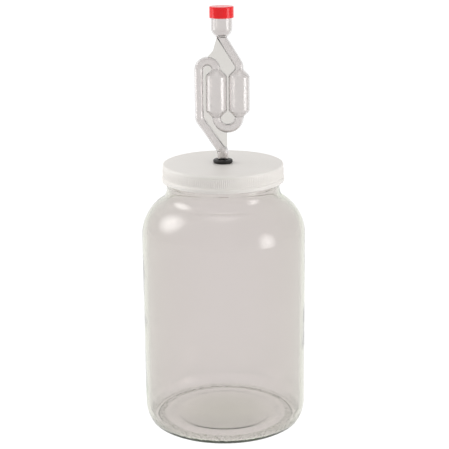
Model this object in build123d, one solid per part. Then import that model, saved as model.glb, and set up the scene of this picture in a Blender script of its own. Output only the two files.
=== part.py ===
from build123d import *
import math
import os

# Clear one gallon jar with a ribbed screw lid, a rubber grommet and a twin-bubble airlock.
# Lengths are in millimetres and angles in degrees. +Z is up, +X is to the right of the view
# that shows the airlock's bubbles side by side, and the origin is the middle of the jar's foot.

os.makedirs("parts", exist_ok=True)

# Jar body
body_d = 154.0              # outer diameter of the straight side
glass_wall = 3.5
side_top_z = 184.0          # where the straight side turns into the shoulder
shoulder_radius = 40.0
heel_side_radius = 30.0     # outer heel, its gentle part below the straight side
heel_foot_radius = 5.0      # outer heel, its tight part above the foot
heel_turn = 30.0            # how far the gentle part turns in
heel_inside_radius = 2.5    # inside, where the heel meets the floor
foot_w = 3.0                # flat width of the standing ring
foot_lift = 0.9             # height of the small bevel inside the standing ring
punt_mid = 3.2              # height of the dome under the base, at the axis
base_edge_t = 4.0           # height of the inside floor round its edge
floor_ring_w = 14.8         # between the standing ring's inner edge and the domes
floor_dome_h = 5.2          # how far the inside floor swells up in its middle
dome_foot_radius = 16.0     # hollow where each dome meets its level ring

# Jar neck and its screw finish
neck_valley_r = 53.0        # the narrowest place, under the bead
neck_curve_radius = 12.3    # outer hollow curve from the shoulder to the neck
neck_valley_h = 3.4         # straight height between the curve and the bead
bead_h = 3.0
bead_out = 0.3              # how far the bead stands out from the valley
neck_root_out = 0.2         # how far the wall under the thread stands out from the valley
finish_h = 21.5             # from the narrowest place up to the rim
rim_round = 1.2
jar_cut_h = 15.5            # from the side's top up to the level plane where the jar's solid is divided
thread_pitch = 5.08
thread_turns = 1.0
thread_depth = 1.5
thread_drop = 3.0           # from the rim down to the middle of the ridge's upper end
thread_clearance = 0.3      # between each ridge's crest and the wall that it faces
ridge_sink = 0.3            # how far each ridge is sunk into its wall
ridge_root_share = 0.50     # ridge width at its root, of the pitch
ridge_crest_share = 0.25    # ridge width at its crest, of the pitch

# Lid and the sealing disc inside it
plate_t = 1.6
skirt_depth = 13.7          # how far the skirt reaches below the jar's rim
skirt_wall = 0.95           # between the inner wall and the roots of the ribs
rib_depth = 0.5
rib_pitch = 1.87
rib_root_share = 0.60       # rib width at its root, of the pitch
rib_crest_share = 0.30      # rib width at its crest, of the pitch
top_band_h = 2.8            # smooth band above the ribs
top_band_out = 0.35         # how far it stands out from the rib roots
top_round = 1.8
low_band_h = 3.3            # smooth band at the skirt's lower edge
low_band_out = 1.15
low_band_slope_h = 1.2
band_round = 0.4
lead_in = 0.4               # chamfer at the mouth of the skirt
hole_r = 6.5                # hole through the middle of the lid
liner_t = 1.0               # space between the rim and the lid's plate, filled by the liner
liner_play = 0.3            # between the liner's edge and the skirt
liner_hole_gap = 1.0        # between the liner's hole and the grommet's lower flange
seat_gap = 0.05             # between faces that press on each other
running_gap = 0.05          # radial gap of a piece that turns or slides in another

# Grommet
grommet_r = 9.1             # upper flange
grommet_top_h = 3.3         # above the lid
grommet_low_r = 8.4         # lower flange
grommet_low_h = 3.2         # below the lid's plate
grommet_round = 1.3

# Airlock. Its tubes and bubbles lie side by side in the XZ plane
stem_r = 5.0                # in the grommet
stem_tip_r = 4.3
stem_top_r = 5.2
stem_below = 26.9           # from the lid's top down to the stem's tip
stem_joint_h = 10.6         # from the lid's top up to where the lowest tube meets the stem
stem_bore_r = 3.6
stem_cut_drop = 2.5         # from the stem joint down to the level plane where the stem's solid ends
tube_r = 4.2
plastic_wall = 1.1
riser_x = -21.2             # axis of the narrow upright tube
left_bubble_x = -5.45
right_bubble_x = 15.5
low_tilt = 34.6             # lowest tube, from upright
high_tilt = 31.4            # highest tube, from upright
elbow_radius = 6.0
bend_h = 32.35              # from the stem joint up to the middle of the bottom bend
bubble_h = 43.95            # from the middle of the bottom bend to the middle of the arch
bubble_r = 9.9
bubble_round = 3.5
high_elbow_h = 4.1          # from the middle of the arch up to the upper elbow
cup_r = 9.85
cup_sink = 0.85             # how far the cup's round bottom sinks over the highest tube
cup_side_h = 17.55          # straight height of the cup
tube_into_cup = 3.6
web_t = 1.2
web_low_x = 4.2             # right edge of the lower web

# The upper web's free left edge runs down from the cup to the arch
web_neck_out = 4.6          # at the cup
web_corner_out = 8.2        # at its bend
web_corner_drop = 12.4      # from the cup joint down to the bend
web_corner_radius = 6.0

# Airlock cap
cap_wall = 1.2
cap_top_t = 1.4
cap_h = 10.2
cap_bevel = 0.5
vent_r = 0.5
vent_ring_r = 5.0
vent_count = 5

overrun = 1.0               # how far cuts and joined pieces run past each other

# Places that follow from the sizes
body_r = body_d / 2
inner_r = body_r - glass_wall
heel_spread = heel_side_radius - heel_foot_radius
heel_side_z = heel_foot_radius + heel_spread * math.sin(math.radians(heel_turn))
heel_side_c = (body_r - heel_side_radius, heel_side_z)
foot_r = heel_side_c[0] + heel_spread * math.cos(math.radians(heel_turn))
foot_inner_r = foot_r - foot_w
floor_mid_z = base_edge_t + floor_dome_h
heel_inside_z = base_edge_t + heel_inside_radius
heel_inside_spread = heel_side_radius - glass_wall - heel_inside_radius
heel_inside_c = (
    heel_side_c[0] + math.sqrt(heel_inside_spread**2 - (heel_side_z - heel_inside_z) ** 2),
    heel_inside_z,
)
dome_r = foot_inner_r - floor_ring_w
shoulder_c = (body_r - shoulder_radius, side_top_z)
neck_curve_r = neck_valley_r + neck_curve_radius
curve_rise = math.sqrt((shoulder_radius + neck_curve_radius) ** 2 - (neck_curve_r - shoulder_c[0]) ** 2)
neck_curve_c = (neck_curve_r, side_top_z + curve_rise)
valley_z = neck_curve_c[1]
mouth_r = neck_valley_r - glass_wall
neck_root_r = neck_valley_r + neck_root_out
rim_z = valley_z + finish_h
thread_start_z = rim_z - thread_drop - thread_pitch * thread_turns

plate_z = rim_z + liner_t
lid_top_z = plate_z + plate_t
skirt_z = rim_z - skirt_depth
skirt_r = neck_root_r + thread_depth + thread_clearance
rib_root_r = skirt_r + skirt_wall
rib_core_r = rib_root_r - skirt_wall / 2

stem_joint_z = lid_top_z + stem_joint_h
stem_cut_z = stem_joint_z - stem_cut_drop
low_elbow_z = stem_joint_z - riser_x / math.tan(math.radians(low_tilt))
bend_z = stem_joint_z + bend_h
arch_z = bend_z + bubble_h
high_elbow_z = arch_z + high_elbow_h
cup_joint_z = high_elbow_z + right_bubble_x / math.tan(math.radians(high_tilt))
cup_round_z = cup_joint_z - cup_sink + cup_r
cup_rim_z = cup_round_z + cup_side_h
arch_x = (riser_x + left_bubble_x) / 2
arch_radius = (left_bubble_x - riser_x) / 2
bend_x = (left_bubble_x + right_bubble_x) / 2
bend_radius = (right_bubble_x - left_bubble_x) / 2


def at(x, z):
    """A point in the XZ plane, where x is also a radius."""
    return Vector(x, 0, z)


def turned(*edges):
    """The solid that a closed outline in the XZ plane sweeps round the Z axis."""
    return revolve(make_face(list(edges)), axis=Axis.Z)


def towards(start, end, distance):
    """The place on the line from start to end that lies at this distance from start."""
    step = distance / math.dist(start, end)
    return (start[0] + (end[0] - start[0]) * step, start[1] + (end[1] - start[1]) * step)


def ridge(root_r, crest_r, start_z):
    """One screw ridge, right-handed, with its root sunk into the wall that carries it."""
    sink = math.copysign(ridge_sink, crest_r - root_r)
    root_half = thread_pitch * ridge_root_share / 2
    crest_half = thread_pitch * ridge_crest_share / 2
    path = Helix(thread_pitch, thread_pitch * thread_turns, root_r, center=(0, 0, start_z))
    section_plane = Plane(origin=path @ 0, x_dir=(1, 0, 0), z_dir=path % 0)
    outline = Polyline(
        (-sink, -root_half),
        (0, -root_half),
        (crest_r - root_r, -crest_half),
        (crest_r - root_r, crest_half),
        (0, root_half),
        (-sink, root_half),
        close=True,
    )
    return sweep(section_plane * make_face(outline), path=path, is_frenet=True)


def dome_edges(middle_z, level_z):
    """A gentle dome and the hollow at its foot, from the axis down to a level, and the radius where they end."""
    rise = middle_z - level_z
    radius = (dome_r**2 + rise**2) / (2 * rise)
    centre = (0, middle_z - radius)
    foot_z = level_z + dome_foot_radius
    foot_r = math.sqrt((radius + dome_foot_radius) ** 2 - (foot_z - centre[1]) ** 2)
    foot_c = (foot_r, foot_z)
    dome_end = towards(centre, foot_c, radius)
    dome_middle = towards(centre, (dome_end[0] / 2, middle_z), radius)
    hollow_middle = towards(foot_c, ((dome_end[0] + foot_r) / 2, level_z), dome_foot_radius)
    edges = (
        ThreePointArc(at(0, middle_z), at(*dome_middle), at(*dome_end)),
        ThreePointArc(at(*dome_end), at(*hollow_middle), at(foot_r, level_z)),
    )
    return edges, foot_r


def jar_outside():
    shoulder_end = towards(shoulder_c, neck_curve_c, shoulder_radius)
    shoulder_middle = towards(shoulder_c, (shoulder_end[0] + shoulder_radius, shoulder_end[1]), shoulder_radius)
    curve_middle = towards(neck_curve_c, (shoulder_end[0], (shoulder_end[1] + valley_z) / 2), neck_curve_radius)
    heel_foot_c = (foot_r, heel_foot_radius)
    heel_break = towards(heel_side_c, heel_foot_c, heel_side_radius)
    heel_side_middle = towards(heel_side_c, (body_r, (heel_side_z + heel_break[1]) / 2), heel_side_radius)
    heel_foot_middle = towards(heel_foot_c, (heel_break[0], 0), heel_foot_radius)
    bevel_r = foot_inner_r - foot_lift
    bead_z = valley_z + neck_valley_h
    dome, dome_foot_r = dome_edges(punt_mid, foot_lift)
    return turned(
        *dome,
        Polyline(at(dome_foot_r, foot_lift), at(bevel_r, foot_lift), at(foot_inner_r, 0), at(foot_r, 0)),
        ThreePointArc(at(foot_r, 0), at(*heel_foot_middle), at(*heel_break)),
        ThreePointArc(at(*heel_break), at(*heel_side_middle), at(body_r, heel_side_z)),
        Line(at(body_r, heel_side_z), at(body_r, side_top_z)),
        ThreePointArc(at(body_r, side_top_z), at(*shoulder_middle), at(*shoulder_end)),
        ThreePointArc(at(*shoulder_end), at(*curve_middle), at(neck_valley_r, valley_z)),
        Line(at(neck_valley_r, valley_z), at(neck_valley_r, bead_z)),
        ThreePointArc(
            at(neck_valley_r, bead_z),
            at(neck_valley_r + bead_out, bead_z + bead_h / 2),
            at(neck_root_r, bead_z + bead_h),
        ),
        Polyline(
            at(neck_root_r, bead_z + bead_h),
            at(neck_root_r, rim_z),
            at(0, rim_z),
            at(0, punt_mid),
        ),
    )


def jar_inside():
    inner_shoulder = shoulder_radius - glass_wall
    inner_curve = neck_curve_radius + glass_wall
    shoulder_end = towards(shoulder_c, neck_curve_c, inner_shoulder)
    shoulder_middle = towards(shoulder_c, (shoulder_end[0] + inner_shoulder, shoulder_end[1]), inner_shoulder)
    curve_middle = towards(neck_curve_c, (shoulder_end[0], (shoulder_end[1] + valley_z) / 2), inner_curve)
    inner_heel = heel_side_radius - glass_wall
    heel_break = towards(heel_side_c, heel_inside_c, inner_heel)
    heel_side_middle = towards(heel_side_c, (inner_r, (heel_side_z + heel_break[1]) / 2), inner_heel)
    heel_foot_middle = towards(heel_inside_c, (heel_break[0], base_edge_t), heel_inside_radius)
    dome, dome_foot_r = dome_edges(floor_mid_z, base_edge_t)
    return turned(
        *dome,
        Line(at(dome_foot_r, base_edge_t), at(heel_inside_c[0], base_edge_t)),
        ThreePointArc(at(heel_inside_c[0], base_edge_t), at(*heel_foot_middle), at(*heel_break)),
        ThreePointArc(at(*heel_break), at(*heel_side_middle), at(inner_r, heel_side_z)),
        Line(at(inner_r, heel_side_z), at(inner_r, side_top_z)),
        ThreePointArc(at(inner_r, side_top_z), at(*shoulder_middle), at(*shoulder_end)),
        ThreePointArc(at(*shoulder_end), at(*curve_middle), at(mouth_r, valley_z)),
        Polyline(
            at(mouth_r, valley_z),
            at(mouth_r, rim_z + overrun),
            at(0, rim_z + overrun),
            at(0, floor_mid_z),
        ),
    )


def make_jar():
    """The jar, moulded in one. A level plane through its shoulder divides it into its body and its neck."""
    glass = jar_outside() - jar_inside()
    rim_edges = glass.edges().filter_by(GeomType.CIRCLE).group_by(Axis.Z)[-1]
    glass = fillet(rim_edges, rim_round)
    glass += ridge(neck_root_r, neck_root_r + thread_depth, thread_start_z)
    neck_plane = Plane.XY.offset(side_top_z + jar_cut_h)
    return (
        split(glass, bisect_by=neck_plane, keep=Keep.BOTTOM),
        split(glass, bisect_by=neck_plane, keep=Keep.TOP),
    )


def rib_ring(low_z, high_z):
    """The ribbed band, as one ring with a rib at each step round it."""
    crest_r = rib_root_r + rib_depth
    count = round(math.tau * crest_r / rib_pitch)
    step = math.tau / count
    points = []
    for index in range(count):
        middle = index * step
        for turn, radius in (
            (-rib_root_share / 2, rib_root_r),
            (-rib_crest_share / 2, crest_r),
            (rib_crest_share / 2, crest_r),
            (rib_root_share / 2, rib_root_r),
        ):
            angle = middle + turn * step
            points.append((radius * math.cos(angle), radius * math.sin(angle)))
    band = make_face(Polyline(*points, close=True)) - Circle(rib_core_r - skirt_wall / 8)
    return Pos(0, 0, low_z) * extrude(band, high_z - low_z)


def make_lid():
    top_r = rib_root_r + top_band_out
    low_r = rib_root_r + low_band_out
    ribs_top_z = lid_top_z - top_band_h
    low_band_z = skirt_z + low_band_h
    ribs_low_z = low_band_z + low_band_slope_h
    upper_band = FilletPolyline(
        at(hole_r, lid_top_z),
        at(top_r, lid_top_z),
        at(top_r, ribs_top_z),
        radius=top_round,
    )
    lower_band = FilletPolyline(
        at(rib_root_r, ribs_low_z),
        at(low_r, low_band_z),
        at(low_r, skirt_z),
        at(skirt_r + lead_in, skirt_z),
        radius=band_round,
    )
    shell = turned(
        upper_band,
        Polyline(
            at(top_r, ribs_top_z),
            at(rib_core_r, ribs_top_z),
            at(rib_core_r, ribs_low_z),
            at(rib_root_r, ribs_low_z),
        ),
        lower_band,
        Polyline(
            at(skirt_r + lead_in, skirt_z),
            at(skirt_r, skirt_z + lead_in),
            at(skirt_r, plate_z),
            at(hole_r, plate_z),
            at(hole_r, lid_top_z),
        ),
    )
    shell += ridge(skirt_r, skirt_r - thread_depth, thread_start_z - thread_pitch / 2)
    return shell + rib_ring(ribs_low_z, ribs_top_z)


def make_liner():
    outer = Circle(skirt_r - liner_play)
    hole = Circle(grommet_low_r + liner_hole_gap)
    return Pos(0, 0, rim_z + seat_gap) * extrude(outer - hole, liner_t - seat_gap * 2)


def make_grommet():
    bore_r = stem_r + running_gap
    groove_r = hole_r - running_gap
    top_z = lid_top_z + grommet_top_h
    low_z = plate_z - grommet_low_h
    upper_flange = FilletPolyline(
        at(bore_r, top_z),
        at(grommet_r, top_z),
        at(grommet_r, lid_top_z + seat_gap),
        at(groove_r, lid_top_z + seat_gap),
        radius=grommet_round,
    )
    lower_flange = FilletPolyline(
        at(groove_r, plate_z - seat_gap),
        at(grommet_low_r, plate_z - seat_gap),
        at(grommet_low_r, low_z),
        at(bore_r, low_z),
        radius=grommet_round,
    )
    return turned(
        upper_flange,
        Line(at(groove_r, lid_top_z + seat_gap), at(groove_r, plate_z - seat_gap)),
        lower_flange,
        Line(at(bore_r, low_z), at(bore_r, top_z)),
    )


def airlock_route():
    """The middle line of the airlock's tube, from the stem to the inside of the cup."""
    start = (0, stem_joint_z)
    low_elbow = (riser_x, low_elbow_z)
    high_elbow = (right_bubble_x, high_elbow_z)
    cup_joint = (0, cup_joint_z)
    into_cup = towards(high_elbow, cup_joint, math.dist(high_elbow, cup_joint) + tube_into_cup)
    return Wire(
        [
            *FilletPolyline(at(*start), at(*low_elbow), at(riser_x, arch_z), radius=elbow_radius).edges(),
            ThreePointArc(at(riser_x, arch_z), at(arch_x, arch_z + arch_radius), at(left_bubble_x, arch_z)),
            Line(at(left_bubble_x, arch_z), at(left_bubble_x, bend_z)),
            ThreePointArc(at(left_bubble_x, bend_z), at(bend_x, bend_z - bend_radius), at(right_bubble_x, bend_z)),
            *FilletPolyline(at(right_bubble_x, bend_z), at(*high_elbow), at(*into_cup), radius=elbow_radius).edges(),
        ]
    )


def tube_along(route, radius):
    return sweep(Plane(origin=route @ 0, z_dir=route % 0) * Circle(radius), path=route)


def bubble(middle_x, shrink):
    """A bubble with cone ends. Shrink is the wall's thickness for its hollow, and 0 for its outside."""
    end_r = tube_r - shrink
    side_r = bubble_r - shrink
    slope = bubble_r - tube_r
    end_shift = shrink * math.tan(math.radians(45 / 2))
    low_z = bend_z + end_shift
    high_z = arch_z - end_shift
    side = FilletPolyline(
        at(end_r, low_z),
        at(side_r, low_z + slope),
        at(side_r, high_z - slope),
        at(end_r, high_z),
        radius=bubble_round - shrink,
    )
    closing = Polyline(at(end_r, high_z), at(0, high_z), at(0, low_z), at(end_r, low_z))
    return Pos(middle_x, 0, 0) * turned(side, closing)


def stem_outside():
    tip_z = lid_top_z - stem_below
    straight_low_z = plate_z - grommet_low_h
    straight_top_z = lid_top_z + grommet_top_h
    return turned(
        Polyline(
            at(0, tip_z),
            at(stem_tip_r, tip_z),
            at(stem_r, straight_low_z),
            at(stem_r, straight_top_z),
            at(stem_top_r, stem_joint_z),
        ),
        ThreePointArc(
            at(stem_top_r, stem_joint_z),
            at(stem_top_r * math.sqrt(0.5), stem_joint_z + stem_top_r * math.sqrt(0.5)),
            at(0, stem_joint_z + stem_top_r),
        ),
        Line(at(0, stem_joint_z + stem_top_r), at(0, tip_z)),
    )


def stem_bore():
    tip_z = lid_top_z - stem_below - overrun
    shaft = Pos(0, 0, tip_z) * extrude(Circle(stem_bore_r), stem_joint_z - tip_z)
    return shaft + Pos(0, 0, stem_joint_z) * Sphere(stem_bore_r)


def cup(radius, top_z):
    side = Pos(0, 0, cup_round_z) * extrude(Circle(radius), top_z - cup_round_z)
    return side + Pos(0, 0, cup_round_z) * Sphere(radius)


def web():
    """The flat plate that the mould leaves between the tubes, cut off along their middle lines."""
    left_edge = FilletPolyline(
        at(-web_neck_out, cup_joint_z),
        at(-web_corner_out, cup_joint_z - web_corner_drop),
        at(arch_x, arch_z + arch_radius + tube_r - plastic_wall / 2),
        radius=web_corner_radius,
    )
    rest = Polyline(
        at(arch_x, arch_z + arch_radius + tube_r - plastic_wall / 2),
        at(arch_x, arch_z + arch_radius),
        at(riser_x, arch_z),
        at(riser_x, low_elbow_z),
        at(0, stem_joint_z),
        at(web_low_x, stem_joint_z),
        at(web_low_x, bend_z - bend_radius),
        at(bend_x, bend_z - bend_radius),
        at(right_bubble_x, bend_z),
        at(right_bubble_x, high_elbow_z),
        at(0, cup_joint_z),
        at(-web_neck_out, cup_joint_z),
    )
    return extrude(make_face([left_edge, rest]), web_t / 2, both=True, dir=(0, 1, 0))


def make_airlock():
    """The airlock, moulded in one. Two level planes divide it into its stem, its tubes and its cup."""
    route = airlock_route()
    outside = stem_outside() + tube_along(route, tube_r)
    outside += bubble(left_bubble_x, 0)
    outside += bubble(right_bubble_x, 0)
    outside += cup(cup_r, cup_rim_z)
    outside += web()
    passage = stem_bore() + tube_along(route, tube_r - plastic_wall)
    passage += bubble(left_bubble_x, plastic_wall)
    passage += bubble(right_bubble_x, plastic_wall)
    passage += cup(cup_r - plastic_wall, cup_rim_z + overrun)
    airlock = outside - passage
    stem_plane = Plane.XY.offset(stem_cut_z)
    cup_plane = Plane.XY.offset(cup_round_z)
    above_stem = split(airlock, bisect_by=stem_plane, keep=Keep.TOP)
    return (
        split(airlock, bisect_by=stem_plane, keep=Keep.BOTTOM),
        split(above_stem, bisect_by=cup_plane, keep=Keep.BOTTOM),
        split(above_stem, bisect_by=cup_plane, keep=Keep.TOP),
    )


def make_airlock_cap():
    inner_r = cup_r + running_gap
    outer_r = inner_r + cap_wall
    plate_low_z = cup_rim_z + seat_gap
    top_z = plate_low_z + cap_top_t
    low_z = top_z - cap_h
    shell = turned(
        Polyline(
            at(0, top_z),
            at(outer_r - cap_bevel, top_z),
            at(outer_r, top_z - cap_bevel),
            at(outer_r, low_z),
            at(inner_r, low_z),
            at(inner_r, plate_low_z),
            at(0, plate_low_z),
            at(0, top_z),
        )
    )
    vent = Pos(vent_ring_r, 0, plate_low_z - overrun) * extrude(Circle(vent_r), cap_top_t + overrun * 2)
    for index in range(vent_count):
        shell -= Rot(0, 0, 360 / vent_count * index) * vent
    return shell


jar_body, jar_neck = make_jar()
export_step(jar_body, "parts/jar_body.step")
export_step(jar_neck, "parts/jar_neck.step")
export_step(make_lid(), "parts/lid.step")
export_step(make_liner(), "parts/liner.step")
export_step(make_grommet(), "parts/grommet.step")
airlock_stem, airlock_body, airlock_cup = make_airlock()
export_step(airlock_stem, "parts/airlock_stem.step")
export_step(airlock_body, "parts/airlock_body.step")
export_step(airlock_cup, "parts/airlock_cup.step")
export_step(make_airlock_cap(), "parts/airlock_cap.step")
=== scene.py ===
import math

import bmesh
import bpy
from mathutils import Matrix, Vector


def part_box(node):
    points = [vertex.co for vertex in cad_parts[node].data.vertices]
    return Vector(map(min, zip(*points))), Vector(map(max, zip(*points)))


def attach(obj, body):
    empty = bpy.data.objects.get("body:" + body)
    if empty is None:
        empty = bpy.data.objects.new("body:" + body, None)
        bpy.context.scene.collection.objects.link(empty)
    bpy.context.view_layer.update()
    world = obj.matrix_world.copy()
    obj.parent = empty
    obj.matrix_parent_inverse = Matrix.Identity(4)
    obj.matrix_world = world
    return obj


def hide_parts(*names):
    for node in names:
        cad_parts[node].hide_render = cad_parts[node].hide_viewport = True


# Glass fermentation jar with a ribbed white screw lid, a rubber grommet and a twin-bubble airlock.
# Lengths are in metres and angles in degrees. +Z is up, and the airlock lies in the XZ plane.

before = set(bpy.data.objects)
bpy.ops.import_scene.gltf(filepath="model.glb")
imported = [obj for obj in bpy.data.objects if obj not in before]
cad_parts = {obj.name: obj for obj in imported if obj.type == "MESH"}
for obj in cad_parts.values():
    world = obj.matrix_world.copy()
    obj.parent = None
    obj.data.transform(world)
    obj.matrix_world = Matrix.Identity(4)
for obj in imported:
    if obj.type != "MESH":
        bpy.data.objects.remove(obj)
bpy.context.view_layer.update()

# Sizes read from the frame
side_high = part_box("jar_body")[1]
neck_low, neck_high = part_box("jar_neck")
lid_low, lid_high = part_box("lid")
liner_low, liner_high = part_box("liner")
grommet_low, grommet_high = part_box("grommet")
stem_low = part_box("airlock_stem")[0]
tubes_low, tubes_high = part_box("airlock_body")
cup_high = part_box("airlock_cup")[1]
cap_low, cap_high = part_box("airlock_cap")

# Jar, as it was blown and moulded
body_r = side_high.x
rim_z = neck_high.z
glass_wall = 0.0035
jar_cut_h = 0.0155          # from the side's top up to where the frame divides the glass
side_top_z = neck_low.z - jar_cut_h
shoulder_radius = 0.040
heel_side_radius = 0.030
heel_foot_radius = 0.005
heel_turn = 30.0
heel_inside_radius = 0.0025
foot_w = 0.003
foot_lift = 0.0009
foot_bevel_run = 0.002
foot_bevel_round = 0.0015
foot_edge_round = 0.0004
punt_mid = 0.0032
base_edge_t = 0.004
floor_ring_w = 0.0148
floor_dome_h = 0.0052
dome_foot_radius = 0.016
mould_ring_in_r = 0.044
mould_ring_out_r = 0.057
mould_ring_full_z = 0.02
mould_ring_none_z = 0.03
mould_ring_h = 0.0012
stipple_in_r = 0.056
stipple_out_r = 0.062
stipple_full_z = 0.006
stipple_none_z = 0.012
stipple_h = 0.0008
neck_valley_r = 0.053
neck_curve_radius = 0.0123
neck_valley_h = 0.0034
bead_h = 0.0030
bead_out = 0.0003
bead_low_share = 0.3
bead_high_share = 0.7
bead_round = 0.0025
neck_root_r = 0.0532
rim_round = 0.0012
thread_pitch = 0.00508
thread_turns = 1.0
thread_depth = 0.0015
thread_drop = 0.003
ridge_half_w = 0.0013
ridge_fade_turns = 0.06
ridge_round = 0.0003
ridge_crest_share = 0.6
ridge_sink = 0.0002
ridge_steps = 180

# Longest steps along the jar's outline, and the number of steps round it
side_step = 0.005
base_step = 0.004
mouth_step = 0.003
bead_step = 0.0006
thread_step = 0.00032
jar_steps = 224

# Lid
plate_t = 0.0016
skirt_r = 0.055
rib_root_r = 0.05595
rib_depth = 0.0005
rib_count = 190
steps_per_rib = 6
top_band_h = 0.0028
top_band_out = 0.00035
low_band_h = 0.0033
low_band_slope_h = 0.0012
hole_r = 0.0065
lid_top_round = 0.0018
lid_hole_round = 0.0003
lid_band_round = 0.0006
lid_inside_round = 0.0005
rib_foot_round = 0.0008
rib_top_slope_h = 0.0003
skirt_chamfer = 0.0004
small_round = 0.0002
rib_reach = 0.0002          # how far inside the ribs' roots a point still counts as one of theirs
rib_low_share = 0.02
rib_high_share = 0.95
rib_fade = 12               # the ribs fade in and out over a twelfth of their height
lid_step = 0.0035

# Liner and grommet
liner_hole_r = 0.0094
liner_round = 0.0003
liner_step = 0.006
liner_steps = 160
grommet_gap = 0.00005
grommet_low_r = 0.0084
grommet_bore_round = 0.0004
grommet_top_round = 0.0013
grommet_low_round = 0.0012
grommet_step = 0.0012
grommet_steps = 96

# Airlock, blown in one piece
tube_r = 0.0042
airlock_wall = 0.0011
bubble_r = 0.0099
bubble_round = 0.0038
bubble_neck_round = 0.0014
bubble_neck_h = 0.002
bubble_slope = 45.0
stem_r = 0.0050
stem_tip_r = 0.0043
stem_top_r = 0.0052
stem_bore_r = 0.0036
stem_joint_h = 0.0106
low_tilt = 34.6
high_tilt = 31.4
elbow_radius = 0.006
bend_h = 0.03235
bubble_h = 0.04395
high_elbow_h = 0.0041
cup_r = 0.00985
cup_sink = 0.00085
left_x = -0.00545
web_t = 0.0012
web_low_x = 0.0042
web_top_x = -0.0046
web_waist_x = -0.0082
web_waist_drop = 0.0124
web_waist_round = 0.006
tube_into_cup = 0.0036
tube_sides = 56
bend_step = 5               # in degrees
fewest_bend_steps = 8
bubble_step = 0.003
spun_step = 0.002
spun_steps = 72

# Cap
cap_plate_t = 0.0014
cap_gap = 0.00005
cap_top_round = 0.0008
cap_rim_round = 0.0003
cap_inside_round = 0.0004
cap_step = 0.0016
cap_steps = 128
vent_count = 5
vent_place_r = 0.005
vent_r = 0.0005
vent_sides = 24
vent_cut_h = 0.006

overrun = 0.001             # how far a cut runs past what it cuts
merge_distance = 1e-6
rib_merge_distance = 2e-6


# Outlines

def arc(centre, radius, start, end, count):
    """Points of an arc, from start to end in degrees, anticlockwise from +X."""
    turns = [math.radians(start + (end - start) * i / count) for i in range(count + 1)]
    return [(centre[0] + radius * math.cos(a), centre[1] + radius * math.sin(a)) for a in turns]


def rounded(corners, count=6):
    """An outline through corners of (x, z, radius), each rounded by an arc of that radius."""
    points = []
    for i, (x, z, radius) in enumerate(corners):
        here = Vector((x, z))
        if radius == 0:
            points.append((x, z))
            continue
        before = Vector(corners[i - 1][:2]) - here
        after = Vector(corners[(i + 1) % len(corners)][:2]) - here
        half = before.angle(after) / 2
        centre = here + (before.normalized() + after.normalized()).normalized() * (radius / math.sin(half))
        reach = radius / math.tan(half)
        first = here + before.normalized() * reach - centre
        last = here + after.normalized() * reach - centre
        turn = first.angle_signed(last)
        for step in range(count + 1):
            spoke = first.copy()
            spoke.rotate(Matrix.Rotation(-turn * step / count, 2))
            points.append(tuple(centre + spoke))
    return points


def divided(points, longest, closed=False):
    """The same outline with its long straight parts cut into shorter ones."""
    ends = points[1:] + points[:1] if closed else points[1:]
    result = []
    for (x0, z0), (x1, z1) in zip(points, ends):
        count = max(1, math.ceil(math.dist((x0, z0), (x1, z1)) / longest))
        result += [(x0 + (x1 - x0) * i / count, z0 + (z1 - z0) * i / count) for i in range(count)]
    return result if closed else result + [points[-1]]


# Meshes

def finished(name, bm, materials=()):
    """A smooth object from a bmesh whose faces are turned outwards."""
    bmesh.ops.recalc_face_normals(bm, faces=bm.faces)
    for face in bm.faces:
        face.smooth = True
    mesh = bpy.data.meshes.new(name)
    bm.to_mesh(mesh)
    bm.free()
    for material in materials:
        mesh.materials.append(material)
    piece = bpy.data.objects.new(name, mesh)
    bpy.context.scene.collection.objects.link(piece)
    return piece


def spin_outline(bm, outline, steps, closed):
    """Spins an outline in the XZ plane round the upright axis."""
    verts = [bm.verts.new((x, 0, z)) for x, z in outline]
    edges = [bm.edges.new(pair) for pair in zip(verts, verts[1:])]
    if closed:
        edges.append(bm.edges.new((verts[-1], verts[0])))
    bmesh.ops.spin(
        bm,
        geom=verts + edges,
        cent=(0, 0, 0),
        axis=(0, 0, 1),
        angle=math.tau,
        steps=steps,
        use_merge=True,
    )
    bmesh.ops.remove_doubles(bm, verts=bm.verts, dist=merge_distance)


def spun(name, outline, steps, closed, materials=()):
    bm = bmesh.new()
    spin_outline(bm, outline, steps, closed)
    return finished(name, bm, materials)


def applied(piece):
    """Puts what the piece's modifiers make into its mesh."""
    mesh = bpy.data.meshes.new_from_object(piece.evaluated_get(bpy.context.evaluated_depsgraph_get()))
    piece.modifiers.clear()
    old = piece.data
    mesh.name = old.name
    piece.data = mesh
    bpy.data.meshes.remove(old)
    for face in mesh.polygons:
        face.use_smooth = True


# Materials

def new_material(name):
    material = bpy.data.materials.new(name)
    material.use_nodes = True
    nodes = material.node_tree.nodes
    return material, nodes, material.node_tree.links, nodes["Principled BSDF"]


def object_noise(nodes, links, scale, detail=2.0):
    """Noise on Object coordinates. Scale is in waves to the metre."""
    place = nodes.new("ShaderNodeTexCoord")
    noise = nodes.new("ShaderNodeTexNoise")
    noise.inputs["Scale"].default_value = scale
    noise.inputs["Detail"].default_value = detail
    links.new(place.outputs["Object"], noise.inputs["Vector"])
    return noise.outputs["Fac"]


def two_tone(nodes, links, factor, first, second):
    mix = nodes.new("ShaderNodeMix")
    mix.data_type = "RGBA"
    mix.inputs["A"].default_value = (*first, 1)
    mix.inputs["B"].default_value = (*second, 1)
    links.new(factor, mix.inputs["Factor"])
    return mix.outputs["Result"]


def bump(nodes, links, height, distance, strength, under=None):
    node = nodes.new("ShaderNodeBump")
    node.inputs["Distance"].default_value = distance
    node.inputs["Strength"].default_value = strength
    links.new(height, node.inputs["Height"])
    if under is not None:
        links.new(under, node.inputs["Normal"])
    return node.outputs["Normal"]


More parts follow.
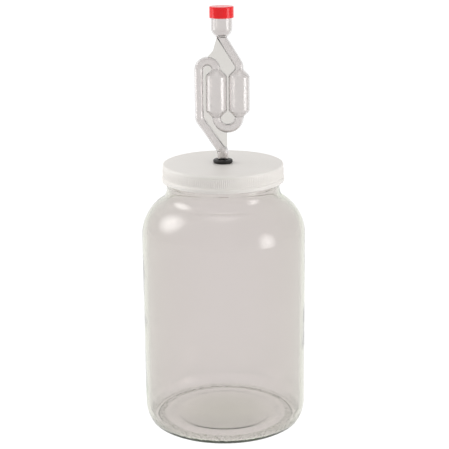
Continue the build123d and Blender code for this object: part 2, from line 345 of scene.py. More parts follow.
def tint_on_entry(nodes, links, tint, shader):
    """A clear wall takes part of its tint where light enters it, and the rest from its depth."""
    side = nodes.new("ShaderNodeNewGeometry")
    mix = nodes.new("ShaderNodeMix")
    mix.data_type = "RGBA"
    mix.inputs["B"].default_value = (1, 1, 1, 1)
    links.new(tint, mix.inputs["A"])
    links.new(side.outputs["Backfacing"], mix.inputs["Factor"])
    links.new(mix.outputs["Result"], shader.inputs["Base Color"])


def let_lamps_through(nodes, links, shader, tint):
    """Clear walls pass lamp light straight through, with their tint, and so cast a pale shadow."""
    path = nodes.new("ShaderNodeLightPath")
    clear = nodes.new("ShaderNodeBsdfTransparent")
    clear.inputs["Color"].default_value = (*tint, 1)
    mix = nodes.new("ShaderNodeMixShader")
    links.new(path.outputs["Is Shadow Ray"], mix.inputs["Fac"])
    links.new(shader.outputs["BSDF"], mix.inputs[1])
    links.new(clear.outputs["BSDF"], mix.inputs[2])
    links.new(mix.outputs["Shader"], nodes["Material Output"].inputs["Surface"])


def absorb(nodes, links, colour, density):
    """Clear material darkens light by the way that it goes inside it."""
    body = nodes.new("ShaderNodeVolumeAbsorption")
    body.inputs["Color"].default_value = (*colour, 1)
    body.inputs["Density"].default_value = density
    links.new(body.outputs["Volume"], nodes["Material Output"].inputs["Volume"])


def clear_surface(shader, ior):
    shader.inputs["Transmission Weight"].default_value = 1.0
    shader.inputs["Roughness"].default_value = 0.0
    shader.inputs["IOR"].default_value = ior


def across(nodes, links, start_r, end_r):
    """Rises smoothly from 0 at one distance from the upright axis to 1 at another."""
    place = nodes.new("ShaderNodeTexCoord")
    flat = nodes.new("ShaderNodeVectorMath")
    flat.operation = "MULTIPLY"
    flat.inputs[1].default_value = (1, 1, 0)
    links.new(place.outputs["Object"], flat.inputs[0])
    radius = nodes.new("ShaderNodeVectorMath")
    radius.operation = "LENGTH"
    links.new(flat.outputs["Vector"], radius.inputs[0])
    rise = nodes.new("ShaderNodeMapRange")
    rise.interpolation_type = "SMOOTHSTEP"
    rise.inputs["From Min"].default_value = start_r
    rise.inputs["From Max"].default_value = end_r
    links.new(radius.outputs["Value"], rise.inputs["Value"])
    return rise.outputs["Result"]


def below(nodes, links, full_z, none_z):
    """Falls from 1 at one height to 0 at a greater one."""
    place = nodes.new("ShaderNodeTexCoord")
    split = nodes.new("ShaderNodeSeparateXYZ")
    links.new(place.outputs["Object"], split.inputs["Vector"])
    fall = nodes.new("ShaderNodeMapRange")
    fall.inputs["From Min"].default_value = none_z
    fall.inputs["From Max"].default_value = full_z
    links.new(split.outputs["Z"], fall.inputs["Value"])
    return fall.outputs["Result"]


def product(nodes, links, first, second):
    times = nodes.new("ShaderNodeMath")
    times.operation = "MULTIPLY"
    links.new(first, times.inputs[0])
    links.new(second, times.inputs[1])
    return times.outputs[0]


def mould_ring(nodes, links):
    """The broad low step that the mould leaves round the middle of the base, as a height."""
    step = across(nodes, links, mould_ring_out_r, mould_ring_in_r)
    return product(nodes, links, step, below(nodes, links, mould_ring_full_z, mould_ring_none_z))


def base_stipple(nodes, links):
    """Fine grains that the mould leaves round the foot, as a height."""
    outer = across(nodes, links, stipple_in_r, stipple_out_r)
    near = product(nodes, links, outer, below(nodes, links, stipple_full_z, stipple_none_z))
    return product(nodes, links, near, object_noise(nodes, links, scale=500.0, detail=1.0))


def jar_glass():
    material, nodes, links, shader = new_material("clear_jar_glass")
    clear_surface(shader, ior=1.52)
    cloud = object_noise(nodes, links, scale=9.0)
    tint = two_tone(nodes, links, cloud, (0.665, 0.588, 0.635), (0.705, 0.628, 0.675))
    tint_on_entry(nodes, links, tint, shader)
    waves = object_noise(nodes, links, scale=22.0, detail=1.0)
    waved = bump(nodes, links, waves, distance=0.0006, strength=0.4)
    ring = mould_ring(nodes, links)
    ringed = bump(nodes, links, ring, distance=mould_ring_h, strength=1.0, under=waved)
    grains = base_stipple(nodes, links)
    grained = bump(nodes, links, grains, distance=stipple_h, strength=0.8, under=ringed)
    links.new(grained, shader.inputs["Normal"])
    let_lamps_through(nodes, links, shader, (0.93, 0.92, 0.91))
    absorb(nodes, links, colour=(0.56, 0.64, 0.39), density=60.0)
    return material


def airlock_plastic(name, low_tint, high_tint):
    material, nodes, links, shader = new_material(name)
    clear_surface(shader, ior=1.50)
    cloud = object_noise(nodes, links, scale=60.0)
    tint_on_entry(nodes, links, two_tone(nodes, links, cloud, low_tint, high_tint), shader)
    waves = object_noise(nodes, links, scale=60.0, detail=1.0)
    links.new(bump(nodes, links, waves, distance=0.0001, strength=0.2), shader.inputs["Normal"])
    let_lamps_through(nodes, links, shader, (0.93, 0.92, 0.92))
    absorb(nodes, links, colour=(0.5, 0.5, 0.5), density=50.0)
    return material


def lid_plastic():
    material, nodes, links, shader = new_material("white_lid_plastic")
    shader.inputs["Roughness"].default_value = 0.42
    shader.inputs["IOR"].default_value = 1.49
    cloud = object_noise(nodes, links, scale=35.0, detail=3.0)
    colour = two_tone(nodes, links, cloud, (0.822, 0.789, 0.749), (0.846, 0.813, 0.773))
    links.new(colour, shader.inputs["Base Color"])
    grain = object_noise(nodes, links, scale=2600.0, detail=2.0)
    links.new(bump(nodes, links, grain, distance=0.00006, strength=0.25), shader.inputs["Normal"])
    return material


def liner_foam():
    material, nodes, links, shader = new_material("white_liner_foam")
    shader.inputs["Roughness"].default_value = 0.8
    cells = object_noise(nodes, links, scale=1800.0, detail=3.0)
    colour = two_tone(nodes, links, cells, (0.74, 0.735, 0.72), (0.82, 0.815, 0.80))
    links.new(colour, shader.inputs["Base Color"])
    links.new(bump(nodes, links, cells, distance=0.0001, strength=0.4), shader.inputs["Normal"])
    return material


def grommet_rubber():
    material, nodes, links, shader = new_material("black_grommet_rubber")
    shader.inputs["Roughness"].default_value = 0.45
    shader.inputs["Specular IOR Level"].default_value = 0.3
    cloud = object_noise(nodes, links, scale=300.0, detail=3.0)
    colour = two_tone(nodes, links, cloud, (0.008, 0.007, 0.006), (0.018, 0.016, 0.014))
    links.new(colour, shader.inputs["Base Color"])
    grain = object_noise(nodes, links, scale=4000.0, detail=2.0)
    links.new(bump(nodes, links, grain, distance=0.00005, strength=0.3), shader.inputs["Normal"])
    return material


def cap_plastic():
    material, nodes, links, shader = new_material("red_cap_plastic")
    shader.inputs["Roughness"].default_value = 0.14
    shader.inputs["Specular IOR Level"].default_value = 0.30
    cloud = object_noise(nodes, links, scale=120.0, detail=2.0)
    colour = two_tone(nodes, links, cloud, (0.880, 0.006, 0.010), (0.930, 0.010, 0.014))
    links.new(colour, shader.inputs["Base Color"])
    waves = object_noise(nodes, links, scale=500.0, detail=1.0)
    links.new(bump(nodes, links, waves, distance=0.00004, strength=0.3), shader.inputs["Normal"])
    return material


# Jar

def thread_lift(angle, z, start_z):
    """How far a screw ridge stands out at this angle and height. It fades in and out at its two ends."""
    lift = 0.0
    for lap in (0, 1):
        turn = (angle / math.tau) % 1 + lap
        if not 0 <= turn <= thread_turns:
            continue
        off = abs(z - start_z - thread_pitch * turn) / ridge_half_w
        if off < 1:
            fade = min(1, turn / ridge_fade_turns, (thread_turns - turn) / ridge_fade_turns)
            lift = max(lift, min(1, (1 - off) * 2) * fade)
    return lift * lift * (3 - 2 * lift) * thread_depth


def dome_outline(dome_r, middle_z, level_z):
    """A gentle dome and the hollow at its foot, from the axis out to a level."""
    rise = middle_z - level_z
    radius = (dome_r**2 + rise**2) / (2 * rise)
    dome_c = (0, middle_z - radius)
    hollow_z = level_z + dome_foot_radius
    hollow_r = math.sqrt((radius + dome_foot_radius) ** 2 - (hollow_z - dome_c[1]) ** 2)
    lean = math.degrees(math.atan2(hollow_z - dome_c[1], hollow_r))
    dome = arc(dome_c, radius, 90, lean, count=16)
    return dome + arc((hollow_r, hollow_z), dome_foot_radius, lean - 180, -90, count=8)[1:]


def make_jar(material):
    shoulder_c = (body_r - shoulder_radius, side_top_z)
    curve_r = neck_valley_r + neck_curve_radius
    rise = math.sqrt((shoulder_radius + neck_curve_radius) ** 2 - (curve_r - shoulder_c[0]) ** 2)
    curve_c = (curve_r, side_top_z + rise)
    tilt = math.degrees(math.atan2(rise, curve_r - shoulder_c[0]))
    inner_r = body_r - glass_wall
    bead_z = curve_c[1] + neck_valley_h
    neck_z = bead_z + bead_h
    bead_sweep = rounded(
        [
            (neck_valley_r, bead_z, 0),
            (neck_valley_r + bead_out, bead_z + bead_h * bead_low_share, bead_round),
            (neck_valley_r + bead_out, bead_z + bead_h * bead_high_share, bead_round),
            (neck_root_r, neck_z, 0),
        ],
        count=8,
    )
    heel_spread = heel_side_radius - heel_foot_radius
    lean = math.radians(heel_turn)
    heel_side_c = (body_r - heel_side_radius, heel_foot_radius + heel_spread * math.sin(lean))
    foot_r = heel_side_c[0] + heel_spread * math.cos(lean)
    bevel_r = foot_r - foot_w - foot_lift
    dome_r = foot_r - foot_w - floor_ring_w
    outside = dome_outline(dome_r, punt_mid, foot_lift)
    outside += divided([outside[-1], (bevel_r - foot_bevel_run, foot_lift)], base_step)[1:]
    foot = [
        (bevel_r - foot_bevel_run, foot_lift, 0),
        (bevel_r, foot_lift, foot_bevel_round),
        (foot_r - foot_w, 0, foot_edge_round),
        (foot_r, 0, 0),
    ]
    outside += rounded(foot)[1:]
    outside += arc((foot_r, heel_foot_radius), heel_foot_radius, -90, -heel_turn, count=14)[1:]
    outside += arc(heel_side_c, heel_side_radius, -heel_turn, 0, count=22)[1:]
    outside += divided([(body_r, heel_side_c[1]), (body_r, side_top_z)], side_step)[1:]
    outside += arc(shoulder_c, shoulder_radius, 0, tilt, count=30)[1:]
    outside += arc(curve_c, neck_curve_radius, tilt + 180, 180, count=18)[1:]
    outside += divided(bead_sweep, bead_step)
    outside += divided([(neck_root_r, neck_z), (neck_root_r, rim_z - rim_round)], thread_step)[1:]
    mouth_r = neck_valley_r - glass_wall
    rim = arc((neck_root_r - rim_round, rim_z - rim_round), rim_round, 0, 90, count=6)[1:]
    rim += arc((mouth_r + rim_round, rim_z - rim_round), rim_round, 90, 180, count=6)
    inside = divided([rim[-1], (mouth_r, curve_c[1])], mouth_step)[1:]
    inside += arc(curve_c, neck_curve_radius + glass_wall, 180, tilt + 180, count=18)[1:]
    inside += arc(shoulder_c, shoulder_radius - glass_wall, tilt, 0, count=30)[1:]
    inside += divided([(inner_r, side_top_z), (inner_r, heel_side_c[1])], side_step)[1:]
    inner_heel = heel_side_radius - glass_wall
    heel_drop = heel_side_c[1] - base_edge_t - heel_inside_radius
    heel_lean = math.degrees(math.asin(heel_drop / (inner_heel - heel_inside_radius)))
    heel_run = math.sqrt((inner_heel - heel_inside_radius) ** 2 - heel_drop**2)
    inside += arc(heel_side_c, inner_heel, 0, -heel_lean, count=22)[1:]
    heel_inside_c = (heel_side_c[0] + heel_run, base_edge_t + heel_inside_radius)
    inside += arc(heel_inside_c, heel_inside_radius, -heel_lean, -90, count=10)[1:]
    dome = dome_outline(dome_r, base_edge_t + floor_dome_h, base_edge_t)[::-1]
    inside += divided([inside[-1], dome[0]], base_step)[1:]
    inside += dome[1:]
    bm = bmesh.new()
    spin_outline(bm, outside + rim + inside, jar_steps, closed=False)
    start_z = rim_z - thread_drop - thread_pitch * thread_turns
    for vert in bm.verts:
        r = math.hypot(vert.co.x, vert.co.y)
        if neck_z < vert.co.z < rim_z - rim_round and r > neck_root_r - glass_wall / 4:
            lift = thread_lift(math.atan2(vert.co.y, vert.co.x), vert.co.z, start_z)
            vert.co.x *= 1 + lift / r
            vert.co.y *= 1 + lift / r
    jar = finished("jar_glass", bm, [material])
    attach(jar, "jar")
    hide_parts("jar_body", "jar_neck")


# Lid, liner and grommet

def ribbed_ring(outline, low_z, high_z):
    """The outline spun through the width of one rib, with the rib raised, and repeated all round."""
    rib_angle = math.tau / rib_count
    one_rib = bmesh.new()
    verts = [one_rib.verts.new((x, 0, z)) for x, z in outline]
    edges = [one_rib.edges.new(pair) for pair in zip(verts, verts[1:] + verts[:1])]
    bmesh.ops.spin(one_rib, geom=verts + edges, axis=(0, 0, 1), angle=rib_angle, steps=steps_per_rib)
    for vert in one_rib.verts:
        r = math.hypot(vert.co.x, vert.co.y)
        share = (vert.co.z - low_z) / (high_z - low_z)
        if r > rib_root_r - rib_reach and rib_low_share < share < rib_high_share:
            wave = (1 + math.cos(math.atan2(vert.co.y, vert.co.x) * rib_count)) / 2
            push = rib_depth * wave * min(1, share * rib_fade, (1 - share) * rib_fade)
            vert.co.x *= 1 + push / r
            vert.co.y *= 1 + push / r
    sector = bpy.data.meshes.new("one_rib")
    one_rib.to_mesh(sector)
    one_rib.free()
    ring = bmesh.new()
    for index in range(rib_count):
        turned = sector.copy()
        turned.transform(Matrix.Rotation(rib_angle * index, 4, "Z"))
        ring.from_mesh(turned)
        bpy.data.meshes.remove(turned)
    bpy.data.meshes.remove(sector)
    bmesh.ops.remove_doubles(ring, verts=ring.verts, dist=rib_merge_distance)
    return ring


def inner_ridge():
    """The screw ridge on the inside of the skirt, a little sunk into it and half a pitch under the jar's."""
    section = rounded(
        [
            (skirt_r + ridge_sink, -ridge_half_w, 0),
            (skirt_r - thread_depth, -ridge_half_w * ridge_crest_share, ridge_round),
            (skirt_r - thread_depth, ridge_half_w * ridge_crest_share, ridge_round),
            (skirt_r + ridge_sink, ridge_half_w, 0),
        ],
        count=3,
    )
    start_z = rim_z - thread_drop - thread_pitch * (thread_turns + 0.5)
    bm = bmesh.new()
    face = bm.faces.new([bm.verts.new((x, 0, start_z + z)) for x, z in section])
    rise = (0, 0, thread_pitch * thread_turns / ridge_steps)
    angle = math.tau * thread_turns
    bmesh.ops.spin(bm, geom=[face], axis=(0, 0, 1), angle=angle, dvec=rise, steps=ridge_steps)
    return finished("lid_ridge", bm)


def make_lid(material):
    top_z = lid_high.z
    skirt_z = lid_low.z
    plate_z = top_z - plate_t
    top_r = rib_root_r + top_band_out
    low_r = lid_high.x
    ribs_top_z = top_z - top_band_h
    low_band_z = skirt_z + low_band_h
    ribs_low_z = low_band_z + low_band_slope_h
    outline = rounded(
        [
            (hole_r, plate_z, small_round),
            (hole_r, top_z, lid_hole_round),
            (top_r, top_z, lid_top_round),
            (top_r, ribs_top_z, small_round),
            (rib_root_r, ribs_top_z - rib_top_slope_h, small_round),
            (rib_root_r, ribs_low_z, rib_foot_round),
            (low_r, low_band_z, lid_band_round),
            (low_r, skirt_z, lid_band_round),
            (skirt_r + skirt_chamfer, skirt_z, small_round),
            (skirt_r, skirt_z + skirt_chamfer, small_round),
            (skirt_r, plate_z, lid_inside_round),
        ],
        count=4,
    )
    section = divided(outline, lid_step, closed=True)
    lid = finished("lid_shell", ribbed_ring(section, ribs_low_z, ribs_top_z))
    boolean(lid, inner_ridge(), "UNION")
    crisp(lid, degrees=40)
    lid.data.materials.clear()
    lid.data.materials.append(material)
    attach(lid, "lid")
    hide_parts("lid")
    return lid


def make_liner(material):
    outline = rounded(
        [
            (liner_hole_r, liner_low.z, small_round),
            (liner_hole_r, liner_high.z, small_round),
            (liner_high.x, liner_high.z, liner_round),
            (liner_high.x, liner_low.z, liner_round),
        ],
        count=4,
    )
    section = divided(outline, liner_step, closed=True)
    liner = spun("liner_disc", section, liner_steps, closed=True, materials=[material])
    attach(liner, "liner")
    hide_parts("liner")


def make_grommet(material):
    bore_r = stem_r + grommet_gap
    groove_r = hole_r - grommet_gap
    seat_z = lid_high.z + grommet_gap
    under_z = lid_high.z - plate_t - grommet_gap
    outline = rounded(
        [
            (bore_r, grommet_high.z, grommet_bore_round),
            (grommet_high.x, grommet_high.z, grommet_top_round),
            (grommet_high.x, seat_z, grommet_top_round),
            (groove_r, seat_z, small_round),
            (groove_r, under_z, small_round),
            (grommet_low_r, under_z, grommet_low_round),
            (grommet_low_r, grommet_low.z, grommet_low_round),
            (bore_r, grommet_low.z, grommet_bore_round),
        ],
        count=7,
    )
    section = divided(outline, grommet_step, closed=True)
    grommet = spun("grommet_ring", section, grommet_steps, closed=True, materials=[material])
    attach(grommet, "grommet")
    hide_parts("grommet")
    return grommet


# Airlock

stem_joint = Vector((0, 0, lid_high.z + stem_joint_h))
riser_x = tubes_low.x + tube_r
right_x = tubes_high.x - bubble_r
bend_z = stem_joint.z + bend_h
arch_z = bend_z + bubble_h
low_elbow_z = stem_joint.z - riser_x / math.tan(math.radians(low_tilt))
high_elbow_z = arch_z + high_elbow_h
cup_joint_z = high_elbow_z + right_x / math.tan(math.radians(high_tilt))
cup_round_z = cup_joint_z - cup_sink + cup_r
cup_rim_z = cup_high.z


def verts_of(grown):
    return [v for v in grown if isinstance(v, bmesh.types.BMVert)]


def edges_of(grown):
    return [e for e in grown if isinstance(e, bmesh.types.BMEdge)]


def bubble_stations(wall):
    """Places along a bubble as (way from its lower end, radius). Wall is 0 for its outside."""
    end_r = tube_r - wall
    side_r = bubble_r - wall
    slope = bubble_r - tube_r
    shift = wall * math.tan(math.radians(bubble_slope / 2))
    outline = rounded(
        [
            (end_r, -bubble_neck_h, 0),
            (end_r, shift, bubble_neck_round),
            (side_r, shift + slope, bubble_round - wall),
            (side_r, bubble_h - shift - slope, bubble_round - wall),
            (end_r, bubble_h - shift, bubble_neck_round),
            (end_r, bubble_h + bubble_neck_h, 0),
        ],
        count=8,
    )
    points = divided(outline[1:-1], bubble_step)
    return [(z, r) for r, z in points if 0 < z < bubble_h] + [(bubble_h, end_r)]


def add_tube(bm, wall):
    """The whole winding tube with its bubbles, from the stem to the inside of the cup."""
    radius = tube_r - wall
    low_reach = elbow_radius * math.tan(math.radians(low_tilt / 2))
    high_reach = elbow_radius * math.tan(math.radians(high_tilt / 2))
    low_run = math.hypot(riser_x, low_elbow_z - stem_joint.z)
    high_run = math.hypot(right_x, cup_joint_z - high_elbow_z)
    bubble = bubble_stations(wall)
    moves = [
        ("run", [(low_run - low_reach, radius)]),
        ("turn", low_tilt, elbow_radius),
        ("run", [(arch_z - low_elbow_z - low_reach, radius)]),
        ("turn", 180, (left_x - riser_x) / 2),
        ("run", bubble),
        ("turn", -180, (right_x - left_x) / 2),
        ("run", bubble),
        ("run", [(high_elbow_z - arch_z - high_reach, radius)]),
        ("turn", -high_tilt, elbow_radius),
        ("run", [(high_run - high_reach + tube_into_cup, radius)]),
    ]
    heading = -low_tilt
    place = stem_joint.copy()
    start = Matrix.Translation(place) @ Matrix.Rotation(math.radians(heading), 4, "Y")
    made = bmesh.ops.create_circle(bm, radius=radius, segments=tube_sides, matrix=start)
    ring = list(bm.edges)
    bm.faces.new(made["verts"])
    for kind, amount, *bend in moves:
        if kind == "run":
            way = Vector((math.sin(math.radians(heading)), 0, math.cos(math.radians(heading))))
            run, here_r = 0, radius
            for distance, next_r in amount:
                if distance <= run:
                    continue
                grown = bmesh.ops.extrude_edge_only(bm, edges=ring)["geom"]
                place += way * (distance - run)
                bmesh.ops.translate(bm, verts=verts_of(grown), vec=way * (distance - run))
                local = Matrix.Translation(place) @ Matrix.Rotation(math.radians(heading), 4, "Y")
                share = next_r / here_r
                bmesh.ops.scale(bm, verts=verts_of(grown), vec=(share, share, 1), space=local.inverted())
                ring = edges_of(grown)
                run, here_r = distance, next_r
            continue
        flat = math.radians(heading)
        side = Vector((math.cos(flat), 0, -math.sin(flat))) * math.copysign(bend[0], amount)
        centre = place + side
        turning = {"cent": centre, "axis": (0, 1, 0), "angle": math.radians(amount)}
        steps = max(fewest_bend_steps, round(abs(amount) / bend_step))
        grown = bmesh.ops.spin(bm, geom=ring, steps=steps, **turning)["geom_last"]
        ring = edges_of(grown)
        place = centre + Matrix.Rotation(math.radians(amount), 3, "Y") @ -side
        heading += amount
    bmesh.ops.holes_fill(bm, edges=ring, sides=0)
    bmesh.ops.remove_doubles(bm, verts=bm.verts, dist=merge_distance)


def add_spun(bm, outline):
    spin_outline(bm, divided(outline, spun_step), spun_steps, closed=False)


def add_stem(bm):
    seat_z = grommet_high.z
    outline = [(0, stem_low.z), (stem_tip_r, stem_low.z), (stem_r, grommet_low.z), (stem_r, seat_z)]
    outline += arc((0, stem_joint.z), stem_top_r, 0, 90, count=12)
    add_spun(bm, outline)


def add_cup(bm, radius, top_z):
    outline = arc((0, cup_round_z), radius, -90, 0, count=20)
    outline += [(radius, top_z), (0, top_z)]
    add_spun(bm, outline)


def add_bore(bm):
    low_z = stem_low.z - overrun
    outline = [(0, low_z), (stem_bore_r, low_z)] + arc((0, stem_joint.z), stem_bore_r, 0, 90, count=10)
    add_spun(bm, outline)


def add_web(bm):
    """The flat plate that the mould leaves between the tubes."""
    arch_x = (riser_x + left_x) / 2
    arch_radius = (left_x - riser_x) / 2
    bend_x = (left_x + right_x) / 2
    bend_radius = (right_x - left_x) / 2
    corners = [
        (arch_x, arch_z + arch_radius, 0),
        (riser_x, arch_z, 0),
        (riser_x, low_elbow_z, 0),
        (0, stem_joint.z, 0),
        (web_low_x, stem_joint.z, 0),
        (web_low_x, bend_z - bend_radius, 0),
        (bend_x, bend_z - bend_radius, 0),
        (right_x, bend_z, 0),
        (right_x, high_elbow_z, 0),
        (0, cup_joint_z, 0),
        (web_top_x, cup_joint_z, 0),
        (web_waist_x, cup_joint_z - web_waist_drop, web_waist_round),
        (arch_x, arch_z + arch_radius + tube_r - airlock_wall / 2, 0),
    ]
    verts = [bm.verts.new((x, -web_t / 2, z)) for x, z in rounded(corners, count=8)]
    face = bm.faces.new(verts)
    grown = bmesh.ops.extrude_face_region(bm, geom=[face])["geom"]
    bmesh.ops.translate(bm, verts=verts_of(grown), vec=(0, web_t, 0))
    # The plate takes the second material, the darker-tinted copy of the clear plastic that paints shade on
    # it.
    for face in bm.faces:
        face.material_index = 1


def joined(name, pieces, materials):
    """One closed skin round several closed ones. Each of the pieces is a call that fills a bmesh."""
    whole = None
    for fill in pieces:
        bm = bmesh.new()
        fill(bm)
        piece = finished(name, bm, materials)
        if whole is None:
            whole = piece
            continue
        boolean(whole, piece, "UNION")
    return whole


def boolean(piece, other, operation):
    cut = piece.modifiers.new("join_or_cut", "BOOLEAN")
    cut.operation = operation
    cut.solver = "MANIFOLD"
    cut.object = other
    applied(piece)
    mesh = other.data
    bpy.data.objects.remove(other)
    bpy.data.meshes.remove(mesh)


def crisp(piece, degrees):
    """Shades smoothly, apart from creases sharper than this."""
    bm = bmesh.new()
    bm.from_mesh(piece.data)
    for edge in bm.edges:
        if len(edge.link_faces) == 2 and edge.calc_face_angle() > math.radians(degrees):
            edge.smooth = False
    bm.to_mesh(piece.data)
    bm.free()


def make_airlock(tube_material, painted_shade_web_material):
    inner_cup_r = cup_r - airlock_wall
    airlock = joined(
        "airlock_shell",
        [
            lambda bm: add_tube(bm, 0),
            add_stem,
            lambda bm: add_cup(bm, cup_r, cup_rim_z),
            add_web,
        ],
        [tube_material, painted_shade_web_material],
    )
    passage = joined(
        "airlock_passage",
        [
            lambda bm: add_tube(bm, airlock_wall),
            add_bore,
            lambda bm: add_cup(bm, inner_cup_r, cup_rim_z + overrun),
        ],
        [tube_material],
    )
    boolean(airlock, passage, "DIFFERENCE")
    crisp(airlock, degrees=35)
    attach(airlock, "airlock")
    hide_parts("airlock_stem", "airlock_body", "airlock_cup")
    return airlock


def make_cap(material):
    inner_r = cup_r + cap_gap
    outer_r = cap_high.x
    plate_z = cap_high.z - cap_plate_t
    outline = rounded(
        [
            (0, cap_high.z, 0),
            (outer_r, cap_high.z, cap_top_round),
            (outer_r, cap_low.z, cap_rim_round),
            (inner_r, cap_low.z, cap_rim_round),
            (inner_r, plate_z, cap_inside_round),
            (0, plate_z, 0),
        ],
        count=6,
    )
    section = divided(outline, cap_step)
    cap = spun("airlock_cap_shell", section, cap_steps, closed=False, materials=[material])
    cutters = bmesh.new()
    for index in range(vent_count):
        turned = Matrix.Rotation(math.tau / vent_count * index, 4, "Z")
        bmesh.ops.create_cone(
            cutters,
            cap_ends=True,
            segments=vent_sides,
            radius1=vent_r,
            radius2=vent_r,
            depth=vent_cut_h,
            matrix=turned @ Matrix.Translation((vent_place_r, 0, plate_z)),
        )
    boolean(cap, finished("cap_vent_cutter", cutters), "DIFFERENCE")
    crisp(cap, degrees=35)
    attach(cap, "cap")
    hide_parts("airlock_cap")
    return cap


make_jar(jar_glass())
lid = make_lid(lid_plastic())
make_liner(liner_foam())
grommet = make_grommet(grommet_rubber())
airlock = make_airlock(
    airlock_plastic("clear_airlock_plastic", (0.572, 0.538, 0.523), (0.608, 0.572, 0.557)),
    # The web is the same clear plastic as the tube. Its darker tint is painted shade, so that the thin flat
    # plate looks as grey as the bubbles.
    airlock_plastic("web_plastic_painted_shade", (0.413, 0.388, 0.350), (0.449, 0.422, 0.382)),
)
cap = make_cap(cap_plastic())


# Floor, background and light

white_level = 1.0
room_level = 0.64
floor_size = 6.0
floor_paint = 0.86
floor_glow = 1.22
floor_white_share = 0.80
lamp_aim = Vector((0, 0, 0.2))
camera_place = (0.0009, -1.1965, 0.5216)
camera_pitch = 15.39        # how far it looks down
camera_roll = -0.55
camera_lens = 105.54
camera_sensor_width = 36.0


def seen_or_mirrored(nodes, links):
    """1 for what the camera sees, also by way of gloss or clear walls, and 0 for light on the object."""
    path = nodes.new("ShaderNodeLightPath")
    first = nodes.new("ShaderNodeMath")
    first.operation = "MAXIMUM"
    links.new(path.outputs["Is Camera Ray"], first.inputs[0])
    links.new(path.outputs["Is Glossy Ray"], first.inputs[1])
    both = nodes.new("ShaderNodeMath")
    both.operation = "MAXIMUM"
    links.new(first.outputs[0], both.inputs[0])
    links.new(path.outputs["Is Transmission Ray"], both.inputs[1])
    return both.outputs[0]


def make_floor():
    bm = bmesh.new()
    bmesh.ops.create_grid(bm, x_segments=1, y_segments=1, size=floor_size)
    material = bpy.data.materials.new("pale_floor")
    material.use_nodes = True
    nodes, links = material.node_tree.nodes, material.node_tree.links
    nodes.clear()
    paint = nodes.new("ShaderNodeBsdfDiffuse")
    paint.inputs["Color"].default_value = (floor_paint, floor_paint, floor_paint, 1)
    glow = nodes.new("ShaderNodeEmission")
    glow.inputs["Strength"].default_value = floor_glow
    seen = seen_or_mirrored(nodes, links)
    share = nodes.new("ShaderNodeMath")
    share.operation = "MULTIPLY"
    share.inputs[1].default_value = floor_white_share
    links.new(seen, share.inputs[0])
    mix = nodes.new("ShaderNodeMixShader")
    links.new(share.outputs[0], mix.inputs["Fac"])
    links.new(paint.outputs["BSDF"], mix.inputs[1])
    links.new(glow.outputs["Emission"], mix.inputs[2])
    output = nodes.new("ShaderNodeOutputMaterial")
    links.new(mix.outputs["Shader"], output.inputs["Surface"])
    finished("studio_floor", bm, [material])


def make_world():
    world = bpy.data.worlds.new("studio_room")
    bpy.context.scene.world = world
    world.use_nodes = True
    nodes, links = world.node_tree.nodes, world.node_tree.links
    nodes.clear()
    room = nodes.new("ShaderNodeBackground")
    room.inputs["Strength"].default_value = room_level
    white = nodes.new("ShaderNodeBackground")
    white.inputs["Strength"].default_value = white_level
    for background in (room, white):
        background.inputs["Color"].default_value = (1, 1, 1, 1)
    mix = nodes.new("ShaderNodeMixShader")
    links.new(seen_or_mirrored(nodes, links), mix.inputs["Fac"])
    links.new(room.outputs["Background"], mix.inputs[1])
    links.new(white.outputs["Background"], mix.inputs[2])
    output = nodes.new("ShaderNodeOutputWorld")
    links.new(mix.outputs["Shader"], output.inputs["Surface"])


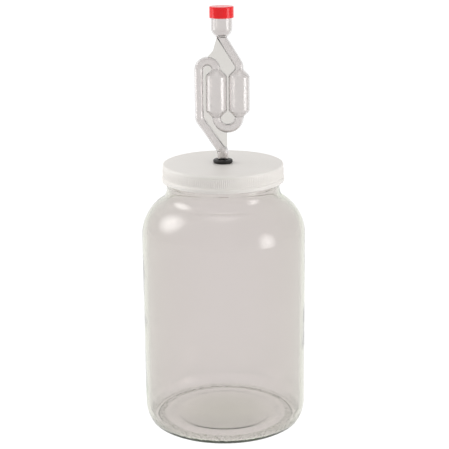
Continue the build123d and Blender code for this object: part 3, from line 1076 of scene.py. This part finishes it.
def add_lamp(name, azimuth, elevation, distance, width, height, radiance, lit=None):
    """An oval soft box aimed at the jar. Azimuth 0 is on the camera's side and 90 to its right.

    Where a collection is named, the lamp lights only the pieces in it.
    """
    a, e = math.radians(azimuth), math.radians(elevation)
    away = Vector((math.sin(a) * math.cos(e), -math.cos(a) * math.cos(e), math.sin(e)))
    data = bpy.data.lights.new(name, "AREA")
    data.shape = "ELLIPSE"
    data.size = width
    data.size_y = height
    oval = math.pi / 4 * width * height
    data.energy = radiance * math.pi * oval
    data.use_nodes = True
    nodes, links = data.node_tree.nodes, data.node_tree.links
    place = nodes.new("ShaderNodeNewGeometry")
    middle = nodes.new("ShaderNodeVectorMath")
    middle.operation = "DISTANCE"
    middle.inputs[1].default_value = (0.5, 0.5, 0)
    links.new(place.outputs["Parametric"], middle.inputs[0])
    fade = nodes.new("ShaderNodeMapRange")
    fade.interpolation_type = "SMOOTHSTEP"
    fade.inputs["From Min"].default_value = 0.5
    fade.inputs["From Max"].default_value = 0.05
    links.new(middle.outputs["Value"], fade.inputs["Value"])
    links.new(fade.outputs["Result"], nodes["Emission"].inputs["Strength"])
    lamp = bpy.data.objects.new(name, data)
    lamp.rotation_euler = away.to_track_quat("Z", "Y").to_euler()
    lamp.location = lamp_aim + away * distance
    lamp.light_linking.receiver_collection = lit
    bpy.context.scene.collection.objects.link(lamp)


def make_camera():
    data = bpy.data.cameras.new("camera")
    data.lens = camera_lens
    data.sensor_width = camera_sensor_width
    camera = bpy.data.objects.new("camera", data)
    camera.matrix_world = (
        Matrix.Translation(camera_place)
        @ Matrix.Rotation(math.radians(90 - camera_pitch), 4, "X")
        @ Matrix.Rotation(math.radians(camera_roll), 4, "Z")
    )
    bpy.context.scene.collection.objects.link(camera)
    bpy.context.scene.camera = camera


make_floor()
make_world()
add_lamp("left_softbox", azimuth=-97, elevation=33, distance=1.4, width=1.35, height=1.35, radiance=3.6)
add_lamp("right_softbox", azimuth=62, elevation=6, distance=1.4, width=0.9, height=1.3, radiance=3.6)
upper_pieces = bpy.data.collections.new("upper_pieces")
for piece in (lid, grommet, airlock, cap):
    upper_pieces.objects.link(piece)
low_panel = {"elevation": -3, "distance": 0.95, "width": 0.9, "height": 0.54, "radiance": 3.6}
add_lamp("left_low_panel", azimuth=-92, lit=upper_pieces, **low_panel)
add_lamp("right_low_panel", azimuth=70, lit=upper_pieces, **low_panel)
add_lamp("top_softbox", azimuth=0, elevation=88, distance=1.4, width=1.2, height=1.2, radiance=1.0)
make_camera()
bpy.context.scene.view_settings.view_transform = "Standard"
bpy.context.scene.cycles.glossy_bounces = 16
bpy.context.scene.cycles.transmission_bounces = 24
bpy.context.scene.cycles.max_bounces = 24
